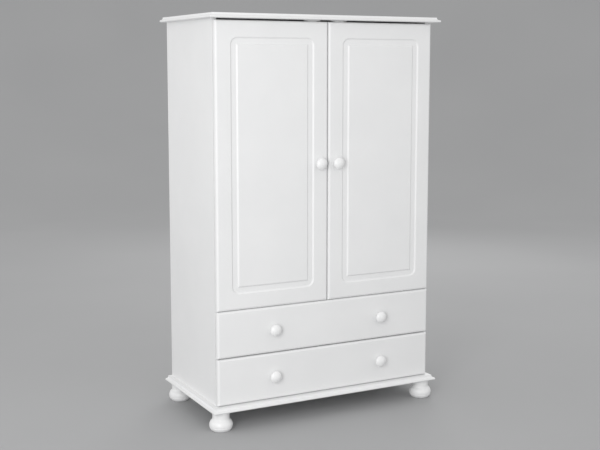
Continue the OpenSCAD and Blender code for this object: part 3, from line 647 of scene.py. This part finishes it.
def put_out(tree, shape, places, finish, twist=None):
    """Copies a shape to the points, turned to face their way, and ends the tree."""
    way = add(tree, "GeometryNodeInputNamedAttribute", {"Name": "way"}, data_type="FLOAT_VECTOR")
    facing = add(tree, "FunctionNodeAlignRotationToVector", {"Vector": way.outputs[0]}, axis="Z")
    turn = facing.outputs["Rotation"]
    if twist is not None:
        own = add(tree, "FunctionNodeAxisAngleToRotation", {"Axis": (0.0, 0.0, 1.0), "Angle": twist})
        turn = add(tree, "FunctionNodeRotateRotation", {"Rotation": turn, "Rotate By": own.outputs[0]},
                   rotation_space="LOCAL").outputs[0]
    copies = add(tree, "GeometryNodeInstanceOnPoints", {"Points": places, "Instance": shape,
                                                        "Rotation": turn})
    real = add(tree, "GeometryNodeRealizeInstances", {"Geometry": copies.outputs[0]})
    dressed = add(tree, "GeometryNodeSetMaterial", {"Geometry": real.outputs[0], "Material": finish})
    add(tree, "NodeGroupOutput", {"Geometry": dressed.outputs[0]})


print("geometry tree helpers ready:", start_tree.__name__, run_tree.__name__)

# %% Lathe tree
LATHE_R, LATHE_WELD = 0.1, 0.00001      # the circle that a profile is carried round, and its seam's weld


def lathe_tree(name, profile):
    """Carries a profile of (radius, height) points round a circle, and copies it to each point."""
    tree, given = start_tree(name, Facets=("NodeSocketInt", 64), Finish=("NodeSocketMaterial", None))
    line = bpy.data.meshes.new(name + "_profile")
    line.from_pydata([(r - LATHE_R, -h, 0.0) for r, h in profile],
                     [(k, k + 1) for k in range(len(profile) - 1)], [])
    drawn = bpy.data.objects.new(name + "_profile", line)
    scene.collection.objects.link(drawn)
    drawn.hide_render = True
    seen = add(tree, "GeometryNodeObjectInfo", {"Object": drawn}, transform_space="ORIGINAL")
    edge = add(tree, "GeometryNodeMeshToCurve", {"Mesh": seen.outputs["Geometry"]})
    ring = add(tree, "GeometryNodeCurvePrimitiveCircle", {"Resolution": given["Facets"],
                                                          "Radius": LATHE_R})
    skin = add(tree, "GeometryNodeCurveToMesh", {"Curve": ring.outputs[0],
                                                 "Profile Curve": edge.outputs[0]})
    closed = add(tree, "GeometryNodeMergeByDistance", {"Geometry": skin.outputs[0],
                                                       "Distance": LATHE_WELD})
    smooth = add(tree, "GeometryNodeSetShadeSmooth", {"Geometry": closed.outputs[0]})
    put_out(tree, smooth.outputs[0], given["Geometry"], given["Finish"])
    return tree, drawn


print("lathe radius", LATHE_R)

# %% [markdown]
# ## Knobs
# A knob has a thin foot against the front, a short hollow neck, and a ball-like head with a slightly
# flattened face. Its profile runs from the middle of its foot to the middle of its face.

# %% Draw the knob's profile
KNOB_RIM, KNOB_R, KNOB_DOME = 11.5 * MM, 21.5 * MM, 28 * MM
KNOB_FOOT = ((0, 0), (9.4, 0), (10, 0.5), (10, 1.4), (9.5, 1.9), (8.7, 2.4))      # millimetres
KNOB_NECK = ((8.1, 3.4), (8, 4.8), (8.3, 6.2))
RIM_STEP, DOME_SHARES = 6, (0.9, 0.75, 0.5, 0.25)
knob_lo, knob_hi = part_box("left_door_knob")
KNOB_H = knob_hi.y - knob_lo.y


def knob_profile():
    """Foot, neck, underside of the head, rim and domed face, as (radius, height)."""
    points = [(r * MM, h * MM) for r, h in KNOB_FOOT + KNOB_NECK]
    rim_r, rim_z = KNOB_R - KNOB_RIM, KNOB_H - KNOB_RIM
    dome_z = KNOB_H - KNOB_DOME
    for a in range(-84, 90, RIM_STEP):
        r = rim_r + KNOB_RIM * math.cos(math.radians(a))
        z = rim_z + KNOB_RIM * math.sin(math.radians(a))
        if math.hypot(r, z - dome_z) < KNOB_DOME:
            points.append((r, z))
    edge = math.degrees(math.acos((points[-1][1] - dome_z) / KNOB_DOME))
    for turn in [math.radians(edge * share) for share in DOME_SHARES]:
        points.append((KNOB_DOME * math.sin(turn), dome_z + KNOB_DOME * math.cos(turn)))
    return points + [(0.0, KNOB_H)]


print("knob profile:", len(knob_profile()), "points")

# %% Turn the knobs
knob_tree, knob_line = lathe_tree("turned_knob", knob_profile())
for name, node in (("knob_left_door", "left_door_knob"), ("knob_right_door", "right_door_knob"),
                   ("knobs_upper_drawer", "upper_drawer_knobs"),
                   ("knobs_lower_drawer", "lower_drawer_knobs")):
    spots = [Vector(((lo.x + hi.x) / 2, hi.y, (lo.z + hi.z) / 2)) for lo, hi in loose_boxes(node)]
    run_tree(name, point_mesh(name, spots, [(0, -1, 0)] * len(spots)), knob_tree, knob_paint,
             (node,), Facets=72)

# %% [markdown]
# ## Bun feet
# A bun foot is a fat ring of a belly under a short neck, with a collar where it meets the board and a
# fine groove turned round the belly. Sharp inner corners are eased, as a skew chisel leaves them.

# %% Draw the foot's profile
BELLY_R, BELLY_Z, NECK_R = 26 * MM, 20.5 * MM, 31 * MM
COLLAR_R, COLLAR_H, COLLAR_EASE = 33.5 * MM, 8 * MM, 0.5 * MM
RING_Z, RING_R = 15.5 * MM, 1.75 * MM
SOLE = ((0, 0), (18, 0), (31.2, 0), (32.3, 0.2))        # millimetres
BELLY_STEP, NECK_EASE, NECK_RISE = 0.76 * MM, 1.6 * MM, 6 * MM
foot_lo, foot_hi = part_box("front_left_foot")
FOOT_H, FOOT_R = foot_hi.z - foot_lo.z, (foot_hi.x - foot_lo.x) / 2


def foot_profile():
    """Sole, belly with its ring groove, neck, collar and top, as (radius, height)."""
    middle = FOOT_R - BELLY_R
    points = [(r * MM, h * MM) for r, h in SOLE]
    for k in range(1, 60):
        z = k * BELLY_STEP
        r = middle + math.sqrt(max(0.0, BELLY_R ** 2 - (z - BELLY_Z) ** 2))
        if r < NECK_R + NECK_EASE and z > BELLY_Z:
            break
        dip = max(0.0, 1 - abs(z - RING_Z) / RING_R)
        points.append((r - dip ** 0.6 * RING_R * 0.9, z))
    belly_end, belly_top = points[-1]
    cove, collar_z = COLLAR_R - NECK_R, FOOT_H - COLLAR_H
    points += [(NECK_R + (belly_end - NECK_R) * t ** 2, belly_top + NECK_RISE * (1 - t))
               for t in (0.7, 0.4, 0.15, 0.0)]
    points += [(COLLAR_R - cove * math.cos(turn), collar_z - cove + cove * math.sin(turn))
               for turn in [math.radians(a) for a in range(0, 91, 15)]]
    return points + [(COLLAR_R - 0.8 * COLLAR_EASE, collar_z), (COLLAR_R, collar_z + 1.2 * COLLAR_EASE),
                     (COLLAR_R, FOOT_H), (0.0, FOOT_H)]


print("foot profile:", len(foot_profile()), "points")

# %% Turn the feet
foot_tree, foot_line = lathe_tree("turned_foot", foot_profile())
for where in ("front_left", "front_right", "back_left", "back_right"):
    lo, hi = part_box(where + "_foot")
    spot = ((lo.x + hi.x) / 2, (lo.y + hi.y) / 2, lo.z)
    run_tree("bun_foot_" + where, point_mesh(where, [spot], [(0, 0, 1)]), foot_tree,
             finishes["painted_turning"], (where + "_foot",), Facets=96)
for line in (knob_line, foot_line):
    bpy.data.objects.remove(line)

# %% [markdown]
# ## Boards, panels and drawer boxes
# The flat boards are right as the CAD has them, with every hole in its place, but a real board never
# has a knife-sharp edge. Each is copied, its triangles are joined back into flat faces, and its edges
# are broken by a fraction of a millimetre, so that they catch the light.


# %% Break the edges of a node
FLAT_ANGLE = 0.5        # degrees between triangles that belong to one flat face


def eased(name, node, arris):
    """A copy of a CAD node with its sharp edges broken."""
    bm = bmesh.new()
    bm.from_mesh(frame["nodes"][node].data)
    bmesh.ops.remove_doubles(bm, verts=bm.verts, dist=1e-6)
    bmesh.ops.dissolve_limit(bm, angle_limit=math.radians(FLAT_ANGLE), verts=bm.verts, edges=bm.edges)
    make(name, bm, finishes[slot_of[node]], (node,), arris=arris)


print("triangles within", FLAT_ANGLE, "degrees become one face")

# %% Break the edges of the boards
BOARD_ARRIS, PANEL_ARRIS, BOTTOM_ARRIS = 0.0006, 0.0002, 0.0003

for name, node in (("side_left", "left_side"), ("side_right", "right_side"),
                   ("shelf_board", "floor_panel")):
    eased(name, node, BOARD_ARRIS)
for name, node in (("back_left", "left_back_panel"), ("back_right", "right_back_panel"),
                   ("back_strip", "back_joiner")):
    eased(name, node, PANEL_ARRIS)
for level in ("upper", "lower"):
    for part in ("left_side", "right_side", "back"):
        eased(f"{level}_box_{part}", f"{level}_drawer_{part}", BOARD_ARRIS)
    eased(f"{level}_box_bottom", f"{level}_drawer_bottom", BOTTOM_ARRIS)

# %% [markdown]
# ## Fittings
# Hinge cups, arms and plates are pressed steel, the catches and runners are moulded plastic, and the
# rail hangs in two pressed sockets. They are copies of the CAD solids too, with smaller broken edges.

# %% Break the edges of the fittings
FITTINGS = (  # piece, CAD node, width of the broken edges
    ("hinge_cups_left", "left_hinge_cups", 0.0003), ("hinge_cups_right", "right_hinge_cups", 0.0003),
    ("hinge_arms_all", "hinge_arms", 0.0004), ("hinge_plates_all", "hinge_plates", 0.0004),
    ("strike_left", "left_strike_plate", 0.0002), ("strike_right", "right_strike_plate", 0.0002),
    ("catches", "door_catches", 0.0008),
    ("runners_left", "left_runners", 0.0006), ("runners_right", "right_runners", 0.0006),
    ("socket_left", "left_rail_socket", 0.0004), ("socket_right", "right_rail_socket", 0.0004),
    ("rail", "hanging_rail", 0.0002),
)
for name, node, arris in FITTINGS:
    eased(name, node, arris)

# %% [markdown]
# ## Screws and nails
# The same small piece repeats at many places, which is what instancing is for. The places are read from
# the CAD nodes: each separate solid gives a point at its head and the way that the head faces. The head
# is at the wider end of the longest side. Each copy is turned by a random angle from a fixed seed,
# because nobody lines up the slots.


# %% Read where the fasteners are
def heads(node):
    """(middle of the head's face, outward way, length) of each separate solid in a node."""
    bm = bmesh.new()
    bm.from_mesh(frame["nodes"][node].data)
    cloud = [v.co.copy() for v in bm.verts]
    bm.free()
    found = []
    for lo, hi in loose_boxes(node):
        size = hi - lo
        axis = list(size).index(max(size))
        mine = [p for p in cloud if all(lo[i] - 1e-6 <= p[i] <= hi[i] + 1e-6 for i in range(3))]
        middle = (lo + hi) / 2
        spread = []
        for end in (lo, hi):
            centre = Vector([end[i] if i == axis else middle[i] for i in range(3)])
            near = [p for p in mine if abs(p[axis] - end[axis]) < 1e-5]
            spread.append(max((p - centre).length for p in near))
        high = spread[1] > spread[0]
        way = Vector([0.0, 0.0, 0.0])
        way[axis] = 1.0 if high else -1.0
        middle[axis] = (hi if high else lo)[axis]
        found.append((middle, way, size[axis]))
    return found


print("nails in the back:", len(heads("back_nails")))

# %% [markdown]
# ## Fastener trees
# A countersunk screw is a cone with a cross cut into it on a plain shank. A pan-head screw is a low dome
# on a shank, with a cross too. A nail is a thin disc on a wire. They share their parts: one helper makes
# the cross, one makes cones and shanks, and one puts them together.


# %% Parts of a fastener
def cross_cut(tree, head, across, wide, deep):
    """Takes a cross of two slots out of a head whose face is at z = 0."""
    for turn in (0.0, math.pi / 2):
        bar = add(tree, "GeometryNodeMeshCube", {"Size": (across, wide, deep * 2)})
        placed = add(tree, "GeometryNodeTransform", {"Geometry": bar.outputs[0],
                                                     "Rotation": (0.0, 0.0, turn)})
        head = add(tree, "GeometryNodeMeshBoolean", {"Mesh 1": head, "Mesh 2": placed.outputs[0]},
                   operation="DIFFERENCE", solver="EXACT").outputs["Mesh"]
    return head


def frustum(tree, low_r, high_r, deep, top, sides):
    """A cone whose upper end is at height top; returns its mesh."""
    cone = add(tree, "GeometryNodeMeshCone", {"Vertices": sides, "Radius Bottom": low_r,
                                              "Radius Top": high_r, "Depth": deep})
    return add(tree, "GeometryNodeTransform", {"Geometry": cone.outputs["Mesh"],
                                               "Translation": (0, 0, top - deep)}).outputs[0]


def join(tree, *parts):
    """Several meshes as one; returns it."""
    both = add(tree, "GeometryNodeJoinGeometry")
    for part in parts:
        tree.links.new(part, both.inputs[0])
    return both.outputs[0]


print("fastener parts ready:", cross_cut.__name__, frustum.__name__, join.__name__)

# %% The tree of a fastener
DOME_SHARE, DOME_TOP, SHANK_TAPER = 0.4, 0.7, 0.8       # of a head's height, its radius, a shank's radius
SHANK_SIDES, TWIST_MOST, TWIST_SEED, HEAD_WELD = 12, 3.1, 7, 1e-6


def fastener_tree(name, length, shank_r, head_r, head_h, proud, cross=None, sides=20):
    """A head whose face is at z = 0 with a shank below it; proud heads are domed, others are cones."""
    tree, given = start_tree(name, Head_radius=("NodeSocketFloat", head_r),
                             Shank_radius=("NodeSocketFloat", shank_r),
                             Seed=("NodeSocketInt", TWIST_SEED), Finish=("NodeSocketMaterial", None))
    wide, thin = given["Head radius"], given["Shank radius"]
    if proud:
        dome_h = head_h * DOME_SHARE
        rim = frustum(tree, wide, wide, head_h * (1 - DOME_SHARE), -dome_h, sides)
        dome = frustum(tree, wide, DOME_TOP * head_r, dome_h, 0.0, sides)
        head = add(tree, "GeometryNodeMergeByDistance", {"Geometry": join(tree, rim, dome),
                                                         "Distance": HEAD_WELD}).outputs[0]
    else:
        head = frustum(tree, thin, wide, head_h, 0.0, sides)
    if cross:
        head = cross_cut(tree, head, *cross)
    shank = frustum(tree, SHANK_TAPER * shank_r, thin, length - head_h, -head_h, SHANK_SIDES)
    twist = add(tree, "FunctionNodeRandomValue", {2: 0.0, 3: TWIST_MOST, "Seed": given["Seed"]},
                data_type="FLOAT").outputs[1]
    put_out(tree, join(tree, head, shank), given["Geometry"], given["Finish"], twist)
    return tree


print("heads are turned by up to", TWIST_MOST, "radians")

# %% [markdown]
# ## Setting the fasteners
# Each row below is one node: the shape of its fastener, and the piece it becomes. The sizes of heads
# and shanks follow the holes that the boards and fittings already have. A cross is given as its width
# from end to end, the width of its slots and their depth.

# %% Set the fasteners
SCREW = dict(shank_r=1.75 * MM, head_r=3.4 * MM, head_h=1.6 * MM, proud=False,
             cross=(3.6 * MM, 0.8 * MM, 1.1 * MM))
PAN = dict(shank_r=2 * MM, head_r=4.5 * MM, head_h=2.5 * MM, proud=True,
           cross=(4.6 * MM, 1.0 * MM, 1.3 * MM))
NAIL = dict(shank_r=0.8 * MM, head_r=2 * MM, head_h=0.8 * MM, proud=True, sides=12)
ROWS = (("plate_screws", "hinge_plate_screws", SCREW), ("screws_catches", "catch_screws", SCREW),
        ("screws_rail", "rail_screws", SCREW), ("screws_runners", "runner_screws", SCREW),
        ("screws_left_door", "left_door_screws", SCREW),
        ("screws_right_door", "right_door_screws", SCREW),
        ("knob_screw_left", "left_knob_screw", PAN), ("knob_screw_right", "right_knob_screw", PAN),
        ("knob_screws_upper", "upper_drawer_knob_screws", PAN),
        ("knob_screws_lower", "lower_drawer_knob_screws", PAN), ("nails_back", "back_nails", NAIL))
for name, node, sizes in ROWS:
    found = heads(node)
    tree = fastener_tree(name, found[0][2], **sizes)
    run_tree(name, point_mesh(name, [f[0] for f in found], [f[1] for f in found]), tree,
             finishes[slot_of[node]], (node,))

# %% [markdown]
# ## What stays as the CAD has it
# Dowels, cam locks, cam pins and foot bolts are right as solids, and sit deep in their holes. They only
# take their finish.

# %% Dress the remaining nodes
for node, solid in frame["nodes"].items():
    if not solid.hide_render:
        solid.data.materials.clear()
        solid.data.materials.append(finishes[slot_of[node]])
        print("kept", node, "in", slot_of[node])
